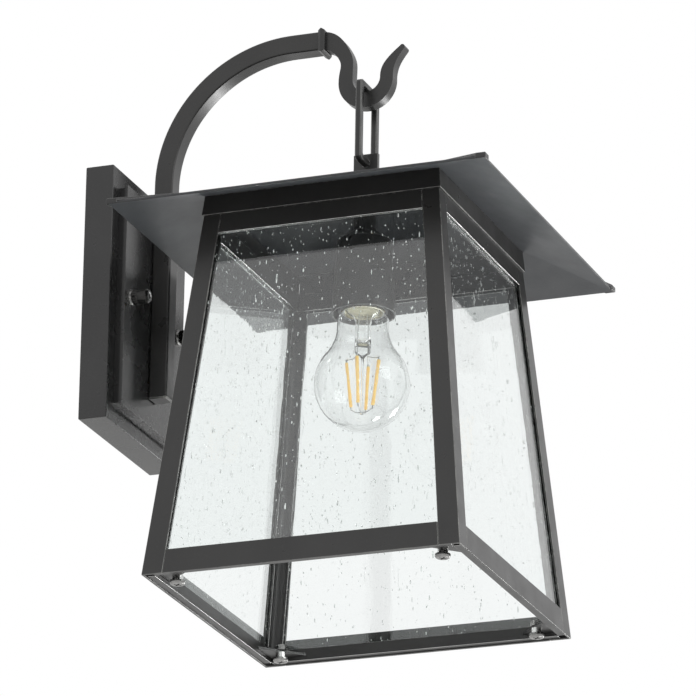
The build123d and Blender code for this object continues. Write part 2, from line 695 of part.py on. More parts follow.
def make_bulb():
    save("bulb_glass", lantern * (bulb_outline(0) - bulb_outline(BULB_GLASS)))

    inside = BASE_RADIUS - BASE_WALL
    shoulder = BASE_TOP - BASE_TAPER
    mouth = INSULATOR_RADIUS + 0.1
    shell = turned([
        (inside, BULB_COLLAR_Z), (BASE_RADIUS, BULB_COLLAR_Z),
        (BASE_RADIUS, shoulder), (mouth + BASE_WALL, BASE_TOP),
        (mouth, BASE_TOP), (inside, shoulder),
    ])
    save("bulb_base_shell", lantern * shell)

    contact_low = CONTACT_TOP - CONTACT_THICKNESS
    insulator = turned([
        (0, BASE_TOP - 1.0), (INSULATOR_RADIUS, BASE_TOP - 1.0), (INSULATOR_RADIUS, BASE_TOP),
        (CONTACT_RADIUS + 0.4, contact_low), (0, contact_low),
    ])
    save("bulb_insulator", lantern * insulator)
    save("bulb_contact", lantern * rod_z(CONTACT_RADIUS, contact_low, CONTACT_TOP))

    stem = turned([
        (0, ROD_LOW), (ROD_RADIUS, ROD_LOW), (ROD_RADIUS, PINCH_LOW - 1.0),
        (PINCH_RADIUS, PINCH_LOW), (PINCH_RADIUS, STEM_LOW - 2.0), (STEM_RADIUS, STEM_LOW),
        (STEM_RADIUS, BULB_COLLAR_Z - 6.0), (STEM_FLARE, BULB_COLLAR_Z),
        (STEM_FLARE, BULB_GLASS_TOP), (0, BULB_GLASS_TOP),
    ])
    save("bulb_stem", lantern * stem)

    filaments = []
    wires = []
    for index in range(FILAMENT_COUNT):
        turn = Rot(0, 0, FILAMENT_TURN + index * 360 / FILAMENT_COUNT)
        top = (turn * Pos(FILAMENT_TOP_RING, 0, FILAMENT_TOP)).position
        low = (turn * Pos(FILAMENT_BOTTOM_RING, 0, FILAMENT_BOTTOM)).position
        path = Line(top, low)
        section = Plane(origin=top, z_dir=path % 0) * Circle(FILAMENT_RADIUS)
        filaments.append(sweep(section, path))
        start = ROD_RADIUS + 0.2
        for z, end in (
            (FILAMENT_TOP + WIRE_GAP, FILAMENT_TOP_RING),
            (FILAMENT_BOTTOM - WIRE_GAP, FILAMENT_BOTTOM_RING),
        ):
            wire = Rot(0, 90, 0) * Cylinder(WIRE_RADIUS, end - start)
            wires.append(turn * Pos((start + end) / 2, 0, z) * wire)
    save("bulb_filaments", group(filaments))
    save("bulb_support_wires", group(wires))


make_bracket()
make_hook(make_arm())
make_ring()
make_roof()
make_cage()
make_corner_fixings()
make_socket()
make_bulb()
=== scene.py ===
import json
import math
import random

import bmesh
import bpy
from mathutils import Matrix, Vector

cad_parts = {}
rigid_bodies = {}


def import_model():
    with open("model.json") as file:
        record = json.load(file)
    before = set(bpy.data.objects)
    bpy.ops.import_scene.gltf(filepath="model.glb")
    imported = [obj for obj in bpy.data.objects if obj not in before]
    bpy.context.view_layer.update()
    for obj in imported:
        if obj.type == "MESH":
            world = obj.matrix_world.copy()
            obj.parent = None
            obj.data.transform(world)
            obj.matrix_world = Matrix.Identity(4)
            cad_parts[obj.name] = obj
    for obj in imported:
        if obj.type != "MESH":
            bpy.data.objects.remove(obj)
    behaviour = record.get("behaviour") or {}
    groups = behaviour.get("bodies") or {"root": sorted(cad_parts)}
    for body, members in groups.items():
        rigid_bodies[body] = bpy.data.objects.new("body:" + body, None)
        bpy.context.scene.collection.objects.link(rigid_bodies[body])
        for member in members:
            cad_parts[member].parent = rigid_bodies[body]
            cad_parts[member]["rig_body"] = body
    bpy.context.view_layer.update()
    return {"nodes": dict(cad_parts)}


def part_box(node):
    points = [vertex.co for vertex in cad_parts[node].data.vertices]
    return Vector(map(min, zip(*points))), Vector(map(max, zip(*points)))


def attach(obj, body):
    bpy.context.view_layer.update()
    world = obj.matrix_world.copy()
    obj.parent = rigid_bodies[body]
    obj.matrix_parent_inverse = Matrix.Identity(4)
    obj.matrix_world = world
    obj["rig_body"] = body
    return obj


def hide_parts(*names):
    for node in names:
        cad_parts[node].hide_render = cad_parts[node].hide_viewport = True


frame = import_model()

nodes = frame["nodes"]
MM = 0.001
AXIS_Y = -0.1675
AXIS = Vector((0, AXIS_Y, 0))
UP = Vector((0, 0, 1))


# ------------------------------------------------------------------ materials

EVEN = (1, 1, 1)            # a noise that isn't drawn out in any direction
GLOSS_TO_PATCH = 2.3        # how much finer the roughness clouds are than the colour's
SPECK_RANGE = (0.62, 0.72)  # the noise values between which a speck fades in
GLASS_GLOSS = 60.0          # the scale of the noise in a glass's roughness
GLINT_TONES = 300.0          # the same in the pale patches painted on air bubbles as glints, for their colour,
GLINT_GLOSS = 500.0          # their roughness
GLINT_GRAIN = (2500.0, 0.02 * MM, EVEN)
GLINT_PATCHES = 240.0        # and where they are
GLINT_RANGE = (0.40, 0.56)


def rgb(r, g, b):
    return (r, g, b, 1.0)


class Shade:
    """A node material under construction, in the object's own coordinates."""

    def __init__(self, name):
        self.material = bpy.data.materials.new(name)
        self.material.use_nodes = True
        self.tree = self.material.node_tree
        self.tree.nodes.clear()
        self.place = self.add("ShaderNodeTexCoord").outputs["Object"]

    def add(self, kind, **inputs):
        node = self.tree.nodes.new(kind)
        for key, value in inputs.items():
            self.feed(node.inputs[key.replace("_", " ")], value)
        return node

    def feed(self, socket, value):
        if isinstance(value, bpy.types.NodeSocket):
            self.tree.links.new(value, socket)
        else:
            socket.default_value = value

    def noise(self, scale, detail=2.0, stretch=EVEN):
        mapping = self.add("ShaderNodeMapping", Vector=self.place, Scale=stretch)
        return self.add(
            "ShaderNodeTexNoise", Vector=mapping.outputs[0], Scale=scale, Detail=detail,
        ).outputs["Fac"]

    def between(self, factor, low, high, start=0.3, end=0.7):
        """A number that goes from low to high as factor goes from start to end."""
        node = self.add("ShaderNodeMapRange", Value=factor)
        for index, value in enumerate((start, end, low, high)):
            node.inputs[index + 1].default_value = value
        return node.outputs[0]

    def blend(self, factor, first, second):
        """A colour between two others."""
        node = self.tree.nodes.new("ShaderNodeMix")
        node.data_type = "RGBA"
        self.feed(node.inputs[0], factor)
        self.feed(node.inputs[6], first)
        self.feed(node.inputs[7], second)
        return node.outputs[2]

    def grain(self, layers, detail=2.0):
        """Bump nodes one after another, from (scale, depth, stretch) layers of noise."""
        normal = None
        for scale, depth, stretch in layers:
            height = self.noise(scale, detail, stretch)
            node = self.add("ShaderNodeBump", Height=height, Distance=depth, Strength=1.0)
            if normal is not None:
                self.feed(node.inputs["Normal"], normal)
            normal = node.outputs[0]
        return normal

    def surface(self, **inputs):
        return self.add("ShaderNodeBsdfPrincipled", **inputs).outputs[0]

    def mixed(self, share, first, second):
        """A shader that is all first where share is 0 and all second where it is 1."""
        node = self.tree.nodes.new("ShaderNodeMixShader")
        for socket, value in zip(node.inputs, (share, first, second)):
            self.feed(socket, value)
        return node.outputs[0]

    def greatest(self, first, second):
        node = self.tree.nodes.new("ShaderNodeMath")
        node.operation = "MAXIMUM"
        self.feed(node.inputs[0], first)
        self.feed(node.inputs[1], second)
        return node.outputs[0]

    def done(self, shader):
        output = self.add("ShaderNodeOutputMaterial")
        self.feed(output.inputs["Surface"], shader)
        return self.material


def finish_of(name, colours, rough, grain, metallic=0.0, patch=28.0, speck=None, **extra):
    """A painted or metal finish. grain is a list of (scale, depth, stretch), patch the scale
    of the colour's clouds, and speck a (scale, colour, strength)."""
    shade = Shade(name)
    cloud = shade.noise(patch, 3.0)
    colour = shade.blend(shade.between(cloud, 0.0, 1.0), colours[0], colours[1])
    if speck is not None:
        scale, tone, share = speck
        dots = shade.between(shade.noise(scale, 1.0), 0.0, share, *SPECK_RANGE)
        colour = shade.blend(dots, colour, tone)
    roughness = shade.between(shade.noise(patch * GLOSS_TO_PATCH, 4.0), rough[0], rough[1])
    return shade.done(shade.surface(
        Base_Color=colour, Roughness=roughness, Metallic=metallic,
        Normal=shade.grain(grain), **extra,
    ))


def glass_of(name, tint, ior, waves, rough=(0.0, 0.02), shadow=rgb(0.94, 0.96, 0.95), glint=None):
    """Clear glass that bends what is behind it and lets lamps through. waves is a list of
    (scale, depth, stretch), and glint the colour of the painted glints on air bubbles."""
    shade = Shade(name)
    solid = shade.surface(
        Base_Color=tint, IOR=ior, Transmission_Weight=1.0,
        Roughness=shade.between(shade.noise(GLASS_GLOSS), rough[0], rough[1]),
        Normal=shade.grain(waves, 1.5),
    )
    # pale patches on the bubbles: painted glints that stand in for the light they catch
    if glint is not None:
        pale = shade.surface(
            Base_Color=shade.blend(shade.noise(GLINT_TONES), rgb(0.96, 0.98, 0.97), glint),
            Roughness=shade.between(shade.noise(GLINT_GLOSS), 0.2, 0.45),
            Normal=shade.grain([GLINT_GRAIN]),
        )
        share = shade.between(shade.noise(GLINT_PATCHES, 1.0), 0.15, 1.0, *GLINT_RANGE)
        solid = shade.mixed(share, solid, pale)
    clear = shade.add("ShaderNodeBsdfTransparent", Color=shadow).outputs[0]
    path = shade.add("ShaderNodeLightPath").outputs
    lighting = shade.greatest(path["Is Shadow Ray"], path["Is Diffuse Ray"])
    return shade.done(shade.mixed(lighting, solid, clear))


BLACK = rgb(0.0165, 0.0162, 0.016)
PAINT_GRAIN = [(1500.0, 0.005 * MM, EVEN), (320.0, 0.008 * MM, EVEN)]
PAINT_SPECK = (900.0, rgb(0.034, 0.034, 0.034), 0.35)
SHEET_WAVE = 22.0           # the scale of the slow waves in a large thin sheet
WINDOW_TINT = rgb(0.915, 0.938, 0.933)
WINDOW_IOR = 1.68

looks = {
    "paint": finish_of(
        "satin_black_paint", (BLACK, rgb(0.022, 0.0215, 0.021)),
        (0.27, 0.37), PAINT_GRAIN, speck=PAINT_SPECK),
    "cast": finish_of(
        "satin_black_cast", (BLACK, rgb(0.023, 0.0225, 0.022)),
        (0.29, 0.40), [(900.0, 0.03 * MM, EVEN), (210.0, 0.10 * MM, EVEN)]),
    "sheet": finish_of(
        "satin_black_sheet", (rgb(0.0165, 0.0163, 0.0165), rgb(0.022, 0.0218, 0.022)),
        (0.25, 0.29), PAINT_GRAIN + [(SHEET_WAVE, 0.02 * MM, EVEN)], speck=PAINT_SPECK),
    "roof": finish_of(
        "satin_black_roof", (rgb(0.020, 0.021, 0.024), rgb(0.028, 0.030, 0.034)),
        (0.34, 0.44), PAINT_GRAIN + [(SHEET_WAVE, 0.10 * MM, EVEN)],
        speck=(900.0, rgb(0.06, 0.062, 0.066), 0.35),
        Sheen_Weight=0.16, Sheen_Roughness=0.4, Sheen_Tint=rgb(0.86, 0.93, 1.0)),
    # lighter metal on rounded edges: partly thin paint, partly a painted highlight
    "edge": finish_of(
        "thin_paint_and_highlight_on_edges", (rgb(0.10, 0.10, 0.10), rgb(0.22, 0.22, 0.21)), (0.22, 0.34),
        PAINT_GRAIN, metallic=0.6, patch=90.0),
    # bright metal on cut edges: partly wear, partly a painted highlight along them
    "edge_wear_and_highlight": finish_of(
        "bare_edge_wear_and_highlight", (rgb(0.36, 0.36, 0.36), rgb(0.62, 0.62, 0.61)), (0.2, 0.32),
        PAINT_GRAIN, metallic=0.9, patch=90.0),
    "zinc": finish_of(
        "zinc_plate", (rgb(0.42, 0.43, 0.44), rgb(0.62, 0.62, 0.60)), (0.28, 0.5),
        [(1300.0, 0.02 * MM, EVEN)], metallic=1.0, patch=160.0),
    "nickel": finish_of(
        "bright_nickel", (rgb(0.60, 0.60, 0.59), rgb(0.76, 0.76, 0.75)), (0.12, 0.26),
        [(1600.0, 0.01 * MM, (1, 1, 0.15))], metallic=1.0, patch=220.0),
    "screw_nickel": finish_of(
        "aged_nickel", (rgb(0.20, 0.20, 0.195), rgb(0.36, 0.355, 0.35)), (0.2, 0.36),
        [(1600.0, 0.02 * MM, EVEN)], metallic=1.0, patch=260.0),
    "dark_nickel": finish_of(
        "black_nickel", (rgb(0.020, 0.020, 0.019), rgb(0.045, 0.044, 0.043)), (0.14, 0.26),
        [(1500.0, 0.02 * MM, EVEN)], metallic=0.8, patch=220.0),
    "brass": finish_of(
        "brass", (rgb(0.66, 0.49, 0.22), rgb(0.78, 0.61, 0.32)), (0.2, 0.4),
        [(1200.0, 0.02 * MM, EVEN)], metallic=1.0, patch=120.0),
    "base": finish_of(
        "lamp_base_plate", (rgb(0.72, 0.68, 0.56), rgb(0.86, 0.82, 0.70)), (0.2, 0.38),
        [(1400.0, 0.015 * MM, EVEN)], metallic=1.0, patch=180.0),
    "cement": finish_of(
        "basing_cement", (rgb(0.50, 0.44, 0.27), rgb(0.72, 0.67, 0.48)), (0.5, 0.7),
        [(700.0, 0.12 * MM, EVEN)], patch=320.0),
    "phenolic": finish_of(
        "black_phenolic", (rgb(0.010, 0.010, 0.010), rgb(0.018, 0.017, 0.016)), (0.35, 0.5),
        [(1100.0, 0.03 * MM, EVEN)]),
    "vitrite": finish_of(
        "black_vitrite", (rgb(0.008, 0.008, 0.012), rgb(0.02, 0.018, 0.03)), (0.08, 0.16),
        [(500.0, 0.03 * MM, EVEN)]),
    "rubber": finish_of(
        "gasket_foam", (rgb(0.03, 0.03, 0.03), rgb(0.05, 0.05, 0.05)), (0.8, 0.95),
        [(1200.0, 0.12 * MM, EVEN)]),
    "green": finish_of(
        "ground_screw_green", (rgb(0.02, 0.16, 0.05), rgb(0.04, 0.24, 0.08)), (0.25, 0.4),
        [(1300.0, 0.02 * MM, EVEN)], metallic=0.6, patch=200.0),
    # the phosphor has a faint painted glow, though the bulb is not lit
    "phosphor": finish_of(
        "filament_phosphor_painted_glow", (rgb(0.86, 0.50, 0.085), rgb(0.97, 0.66, 0.17)), (0.35, 0.5),
        [(900.0, 0.05 * MM, EVEN)], patch=420.0,
        Emission_Color=rgb(1.0, 0.56, 0.10), Emission_Strength=0.28),
    "seeded": glass_of(
        "seeded_glass", WINDOW_TINT, WINDOW_IOR,
        [(42.0, 0.05 * MM, (1, 1, 0.30)), (230.0, 0.014 * MM, (1, 1, 0.10))]),
    # air bubbles with painted glints on them
    "seed": glass_of(
        "glass_seeds", WINDOW_TINT, WINDOW_IOR, [(2000.0, 0.01 * MM, EVEN)],
        glint=rgb(0.80, 0.83, 0.82)),
    "bulb": glass_of(
        "bulb_glass", rgb(0.995, 0.998, 0.997), 1.47, [(30.0, 0.004 * MM, EVEN)],
        (0.0, 0.004), rgb(0.985, 0.99, 0.99)),
}


# ------------------------------------------------------------------- geometry

def make_piece(name, work, body, look, replaced=(), angle=38.0, weighted=True):
    """An object from a bmesh, riding on a body and standing for CAD nodes. Edges sharper
    than angle stay sharp, and weighted keeps large faces flat beside rounded edges."""
    mesh = bpy.data.meshes.new(name)
    work.normal_update()
    work.to_mesh(mesh)
    work.free()
    mesh.shade_smooth()
    mesh.set_sharp_from_angle(angle=math.radians(angle))
    mesh.materials.append(looks[look])
    piece = bpy.data.objects.new(name, mesh)
    bpy.context.scene.collection.objects.link(piece)
    if weighted:
        flat = piece.modifiers.new("face_weights", "WEIGHTED_NORMAL")
        flat.keep_sharp = True
    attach(piece, body)
    if replaced:
        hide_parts(*replaced)
    return piece


def welded(node):
    """A copy of a CAD node's mesh with its flat faces made whole."""
    work = bmesh.new()
    work.from_mesh(nodes[node].data)
    bmesh.ops.remove_doubles(work, verts=work.verts, dist=2e-6)
    bmesh.ops.dissolve_limit(
        work, angle_limit=math.radians(0.4), verts=work.verts, edges=work.edges,
        use_dissolve_boundaries=False,
    )
    bmesh.ops.recalc_face_normals(work, faces=work.faces)
    return work


def soften(work, width, segments=2, angle=28.0):
    """Rounds the outer edges of a mesh, and gives the new faces its second material."""
    limit = math.radians(angle)
    sharp = [
        edge for edge in work.edges
        if len(edge.link_faces) == 2 and edge.is_convex and edge.calc_face_angle(0) > limit
    ]
    made = bmesh.ops.bevel(
        work, geom=sharp, offset=width, offset_type="OFFSET", segments=segments,
        profile=0.5, affect="EDGES", clamp_overlap=True,
    )
    for face in made["faces"]:
        face.material_index = 1


# by default the edges get the lighter edge look: partly wear, partly painted highlight
def dress(node, width, look, edge="edge", segments=2):
    """Replaces a CAD node with its own shape. Its outer edges are rounded by width, in mm,
    and have a look of their own."""
    work = welded(node)
    soften(work, width * MM, segments)
    body = nodes[node]["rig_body"]
    piece = make_piece("look_" + node, work, body, look, (node,))
    piece.data.materials.append(looks[edge])


def skin_rings(work, rings, closed=False, flip=False):
    """Quads between rings of vertices. A ring of one vertex is a pole."""
    pairs = list(zip(rings, rings[1:] + rings[:1] if closed else rings[1:]))
    for low, high in pairs:
        count = max(len(low), len(high))
        for i in range(count):
            j = (i + 1) % count
            corners = (low[i % len(low)], low[j % len(low)], high[j % len(high)], high[i % len(high)])
            corners = list(dict.fromkeys(corners))
            if len(corners) < 3:
                continue
            work.faces.new(reversed(corners) if flip else corners)


def frame_along(direction):
    """Two unit vectors square to a direction."""
    direction = direction.normalized()
    helper = UP if abs(direction.z) < 0.9 else Vector((1, 0, 0))
    first = direction.cross(helper).normalized()
    return first, direction.cross(first)


def around(first, second, turn):
    """Where the first of two vectors comes to when it turns by an angle towards the second."""
    return first * math.cos(turn) + second * math.sin(turn)


def turned(work, profile, origin, axis=UP, segments=64, closed=False, wobble=None):
    """Turns (radius, height) points about an axis. wobble(radius, height, angle) gives the
    radius where the shape isn't quite round."""
    origin = Vector(origin)
    axis = Vector(axis).normalized()
    first, second = frame_along(axis)
    rings = []
    for radius, height in profile:
        centre = origin + axis * height
        if radius < 1e-7:
            rings.append([work.verts.new(centre)])
            continue
        ring = []
        for i in range(segments):
            turn = 2 * math.pi * i / segments
            reach = wobble(radius, height, turn) if wobble else radius
            ring.append(work.verts.new(centre + around(first, second, turn) * reach))
        rings.append(ring)
    skin_rings(work, rings, closed)


def rod(work, start, end, radius, segments, ends=0.3):
    """A round rod between two points. Its ends are rounded by a share of its radius."""
    start = Vector(start)
    end = Vector(end)
    length = (end - start).length
    cut = min(radius * ends, length / 4)
    belly = cut * 0.3
    profile = [
        (0, 0), (radius - cut, 0), (radius - belly, belly), (radius, cut),
        (radius, length - cut), (radius - belly, length - belly),
        (radius - cut, length), (0, length),
    ]
    turned(work, profile, start, end - start, segments)


def tube_along(work, points, radius, segments=8):
    """A round wire along smooth points."""
    points = [Vector(p) for p in points]
    rings = []
    first = None
    for i, point in enumerate(points):
        ahead = points[min(i + 1, len(points) - 1)] - points[max(i - 1, 0)]
        ahead.normalize()
        if first is None:
            first = frame_along(ahead)[0]
        first = (first - ahead * first.dot(ahead)).normalized()
        second = ahead.cross(first)
        rings.append([
            work.verts.new(point + around(first, second, 2 * math.pi * k / segments) * radius)
            for k in range(segments)
        ])
    skin_rings(work, [[work.verts.new(points[0])]] + rings + [[work.verts.new(points[-1])]])


def hermite(start, start_way, end, end_way, count):
    """Points on a smooth curve from start to end, the first left out. The two ways are the
    curve's directions at its ends, longer for a fuller curve."""
    points = []
    for i in range(1, count + 1):
        t = i / count
        shares = (
            2 * t ** 3 - 3 * t ** 2 + 1, t ** 3 - 2 * t ** 2 + t,
            -2 * t ** 3 + 3 * t ** 2, t ** 3 - t ** 2,
        )
        points.append(tuple(
            sum(share * value for share, value in zip(shares, values))
            for values in zip(start, start_way, end, end_way)
        ))
    return points


# -------------------------------------------------------------------- bracket

def build_arm():
    """The square tube: upright, a quarter bend, then level. Its corners are rounded."""
    low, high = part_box("arm_tube")
    side = 12.5 * MM
    wall = 1.5 * MM
    corner = 1.3 * MM
    bend_radius = 86.0 * MM
    top = high.z - side / 2
    back = high.y - side / 2
    centre = Vector((0, back - bend_radius, top - bend_radius))
    path = [(Vector((0, back, low.z)), UP)]
    steps = 40
    for i in range(steps + 1):
        turn = math.pi / 2 * i / steps
        out = Vector((0, math.cos(turn), math.sin(turn)))
        path.append((centre + out * bend_radius, Vector((0, -math.sin(turn), math.cos(turn)))))
    path.append((Vector((0, low.y, top)), Vector((0, -1, 0))))

    def outline(half, round_off):
        """A rounded square, as (x, y) points."""
        points = []
        half_steps = 3
        for k in range(4):
            middle = math.pi / 4 + k * math.pi / 2
            cx = math.copysign(half - round_off, math.cos(middle))
            cy = math.copysign(half - round_off, math.sin(middle))
            for step in range(-half_steps, half_steps + 1):
                turn = middle + step * math.pi / 4 / half_steps
                points.append((cx + round_off * math.cos(turn), cy + round_off * math.sin(turn)))
        return points

    work = bmesh.new()
    across = Vector((1, 0, 0))
    skins = []
    for shape in (outline(side / 2, corner), outline(side / 2 - wall, corner / 2)):
        skins.append([
            [work.verts.new(place + across * x + along.cross(across) * y) for x, y in shape]
            for place, along in path
        ])
    outer, inner = skins
    skin_rings(work, outer + list(reversed(inner)), closed=True)
    bmesh.ops.recalc_face_normals(work, faces=work.faces)
    make_piece("look_arm_tube", work, "bracket", "paint", ("arm_tube",))


def build_cap_nuts():
    """Knurled cap nuts with a groove, and a turned face with a shallow dish in it."""
    low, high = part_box("cap_nuts")
    radius = (high.z - low.z) / 2
    length = high.y - low.y
    groove = radius * 0.9
    flutes = 18
    flute_depth = 0.1
    flutes_start = 0.1 * length
    flutes_end = 0.34 * length
    band_start = 0.09 * length
    band_step = 0.027 * length

    def knurl(reach, height, turn):
        if flutes_start < height < flutes_end:
            return reach * (1 - flute_depth * (1 + math.cos(flutes * turn)) / 2)
        return reach

    profile = [(0, 0), (groove, 0), (groove, 0.06 * length)]
    profile += [(radius, band_start + band_step * i) for i in range(10)]
    profile += [(groove, 0.37 * length), (groove, 0.41 * length)]
    profile += [(radius, 0.44 * length), (radius, 0.86 * length), (radius * 0.97, 0.9 * length)]
    profile += [(radius * 0.72, length), (radius * 0.5, length)]
    profile += [(radius * 0.46, 0.97 * length), (0, 0.965 * length)]
    for side, x in (("left", low.x + radius), ("right", high.x - radius)):
        work = bmesh.new()
        turned(work, profile, (x, high.y, 0), (0, -1, 0), 72, wobble=knurl)
        bmesh.ops.recalc_face_normals(work, faces=work.faces)
        replaced = ("cap_nuts",) if side == "left" else ()
        nut = make_piece(
            "cap_nut_" + side, work, "bracket", "dark_nickel", replaced, angle=30.0)
        # the end face's rim and the seat get bright nickel: polished metal, and painted highlights
        # too
        nut.data.materials.append(looks["nickel"])
        for face in nut.data.polygons:
            reach = math.hypot(face.center.x - x, face.center.z) / radius
            depth = (high.y - face.center.y) / length
            rim = 0.47 < reach < 0.8 and depth > 0.97
            seat = depth < 0.03
            face.material_index = 1 if rim or seat else 0


POST_EDGE = 0.4
RAIL_EDGE = 0.25
# node: edge width in mm, look, look of its edges
WORN = {
    "backplate_tray": (0.8, "sheet", "sheet"),
    "backplate_panel": (0.6, "sheet", "edge"),
    "arm_foot_cap": (0.35, "paint", "edge"),
    "arm_collar": (0.7, "cast", "cast"),
    "hook": (1.2, "cast", "cast"),
    "hanging_ring": (0.22, "cast", "edge"),
    "roof_sheet": (0.35, "roof", "paint"),
    "roof_hip_caps": (0.5, "sheet", "sheet"),
    "roof_skirt": (0.35, "paint", "edge"),
    "stem_tab": (0.35, "paint", "edge"),
    # these edges get the bright look: partly wear, partly painted highlights
    "corner_gussets": (0.2, "paint", "edge_wear_and_highlight"),
    "lower_glass_channels": (0.18, "paint", "edge_wear_and_highlight"),
    "upper_glass_channels": (0.22, "paint", "edge_wear_and_highlight"),
    "corner_glass_angles": (0.18, "paint", "edge_wear_and_highlight"),
    "socket_cup": (0.3, "paint", "edge"),
}
# what keeps its CAD mesh, by look
KEPT = {
    "zinc": ("mounting_strap", "mounting_studs", "stud_lock_nuts", "arm_screws",
             "arm_anchor_block", "threaded_nipple", "neck_washer"),
    "nickel": ("corner_spacers",),
    "screw_nickel": ("corner_screws", "cap_washers", "corner_nuts"),
    "brass": ("socket_shell", "socket_contact"),
    "phenolic": ("socket_body",),
    "vitrite": ("bulb_insulator",),
    "base": ("bulb_contact",),
    "rubber": ("wall_gasket",),
    "green": ("ground_screw",),
}


def dress_nodes():
    for node, (width, look, edge) in WORN.items():
        dress(node, width, look, edge, segments=3 if node == "hook" else 2)
    for node in sorted(nodes):
        if node.startswith("post_"):
            dress(node, POST_EDGE, "paint")
        elif node.startswith("top_rail_"):
            # the top rails' edges are partly worn, partly painted highlights
            dress(node, RAIL_EDGE, "paint", "edge_wear_and_highlight")
        elif node.startswith("bottom_rail_"):
            dress(node, RAIL_EDGE, "paint")
    for look, names in KEPT.items():
        for node in names:
            mesh = nodes[node].data
            mesh.materials.clear()
            mesh.materials.append(looks[look])


build_arm()
build_cap_nuts()
dress_nodes()


# ---------------------------------------------------------------------- glass

SEEDS = 1300           # bubbles in a pane
CORDS = 16             # long thin bubbles in a pane
SEED_RADIUS = 0.25     # of a usual bubble, in mm, and how widely it varies
SEED_SPREAD = 0.40
SEED_SMALLEST = 0.13
SEED_LARGEST = 0.58
SEED_LONGEST = 5.0     # times its width
SEED_FLATNESS = 0.8    # through the pane
FRONT_SLENDER = 0.75   # what bubbles are narrowed by in the front and back panes
SIDE_SLENDER = 0.95    # and in the left and right ones


def add_seed(work, centre, axes, radii, rings=4, segments=7):
    """An air bubble: a small ellipsoid whose faces look inwards."""
    def spot(turn, lift):
        flat = math.cos(lift)
        parts = (flat * math.cos(turn), flat * math.sin(turn), math.sin(lift))
        return centre + sum((axis * (r * p) for axis, r, p in zip(axes, radii, parts)), Vector())

    made = [[work.verts.new(spot(0, -math.pi / 2))]]
    for i in range(1, rings):
        lift = math.pi * (i / rings - 0.5)
        made.append([work.verts.new(spot(2 * math.pi * k / segments, lift)) for k in range(segments)])
    made.append([work.verts.new(spot(0, math.pi / 2))])
    skin_rings(work, made, flip=True)


def bubble_of(chance, slender, cord):
    """Where a bubble lies, as shares across, up and through the pane, and its half width and
    half length in mm."""
    across = chance.uniform(0.03, 0.97)
    up = chance.uniform(0.02, 0.98)
    through = chance.uniform(0.38, 0.62)
    width = chance.lognormvariate(math.log(SEED_RADIUS), SEED_SPREAD)
    width = min(max(width, SEED_SMALLEST), SEED_LARGEST) * slender
    length = width * min(1 + chance.expovariate(1.0), SEED_LONGEST) / slender ** 2
    if cord:
        width = chance.uniform(0.10, 0.17)
        length = chance.uniform(2.5, 8.0)
        up = 0.1 + 0.8 * up
    return (across, up, through), width, length


def build_pane(side, seed, slender):
    """A seeded pane: the CAD pane's shape with air bubbles drawn out along it."""
    node = "glass_" + side
    work = welded(node)
    faces = sorted(work.faces, key=lambda f: f.calc_area())[-2:]
    faces.sort(key=lambda f: -(f.calc_center_median().xy - AXIS.xy).length)
    outer, inner = ([v.co.copy() for v in f.verts] for f in faces)
    normal = faces[0].normal.copy()
    sideways = UP.cross(normal).normalized()
    lengthways = normal.cross(sideways)

    def ordered(corners):
        """The low pair and then the high pair, each from one side to the other."""
        corners = sorted(corners, key=lambda p: p.z)
        return (sorted(corners[:2], key=lambda p: p.dot(sideways))
                + sorted(corners[2:], key=lambda p: p.dot(sideways)))

    skins = (ordered(outer), ordered(inner))
    soften(work, 0.3 * MM, 1)
    slab = set(work.faces)
    chance = random.Random(seed)
    for index in range(SEEDS + CORDS):
        (across, up, through), width, length = bubble_of(chance, slender, index >= SEEDS)
        spots = []
        for corners in skins:
            low = corners[0].lerp(corners[1], across)
            high = corners[2].lerp(corners[3], across)
            spots.append(low.lerp(high, up))
        radii = (width * MM, width * SEED_FLATNESS * MM, length * MM)
        add_seed(work, spots[0].lerp(spots[1], through), (sideways, normal, lengthways), radii)
    for face in work.faces:
        face.material_index = 0 if face in slab else 1
    pane = make_piece(
        "seeded_" + node, work, "lantern", "seeded", (node,),
        angle=60.0, weighted=False)
    pane.data.materials.append(looks["seed"])
    for face in pane.data.polygons:  # the slab's own faces stay flat
        face.use_smooth = face.material_index == 1


build_pane("left", 11, SIDE_SLENDER)
build_pane("right", 12, SIDE_SLENDER)
build_pane("front", 13, FRONT_SLENDER)
build_pane("back", 14, FRONT_SLENDER)


# ----------------------------------------------------------------------- bulb
# Its sizes are in mm, and its heights are those of the frame.

GLOBE_RADIUS = 30.0
GLOBE_Z = -61.0
SHOULDER_LIFT = math.radians(40.0)   # where the globe ends, up from its widest line
WAIST = (16.6, -27.5)
NECK = (16.2, -18.0)
COLLAR_Z = -14.0
COLLAR_RADIUS = 12.5
GLASS_TOP = -12.0
GLASS_WALL = 0.4
BASE_RADIUS = 13.25
BASE_TOP = 8.0
THREAD_PITCH = 3.63 * MM
THREAD_DEPTH = 0.62 * MM
STEM_TURN = math.radians(-69.0)      # which way the flat pinch lies
STEM_WIDE = Vector((math.cos(STEM_TURN), math.sin(STEM_TURN), 0))
STEM_DEEP = UP.cross(STEM_WIDE)
FILAMENT_TOP = (10.8, -44.0)         # (distance from the axis, height)
FILAMENT_LOW = (7.0, -76.7)


def scaled(points):
    return [(r * MM, z * MM) for r, z in points]


def on_axis(height):
    return AXIS + UP * (height * MM)


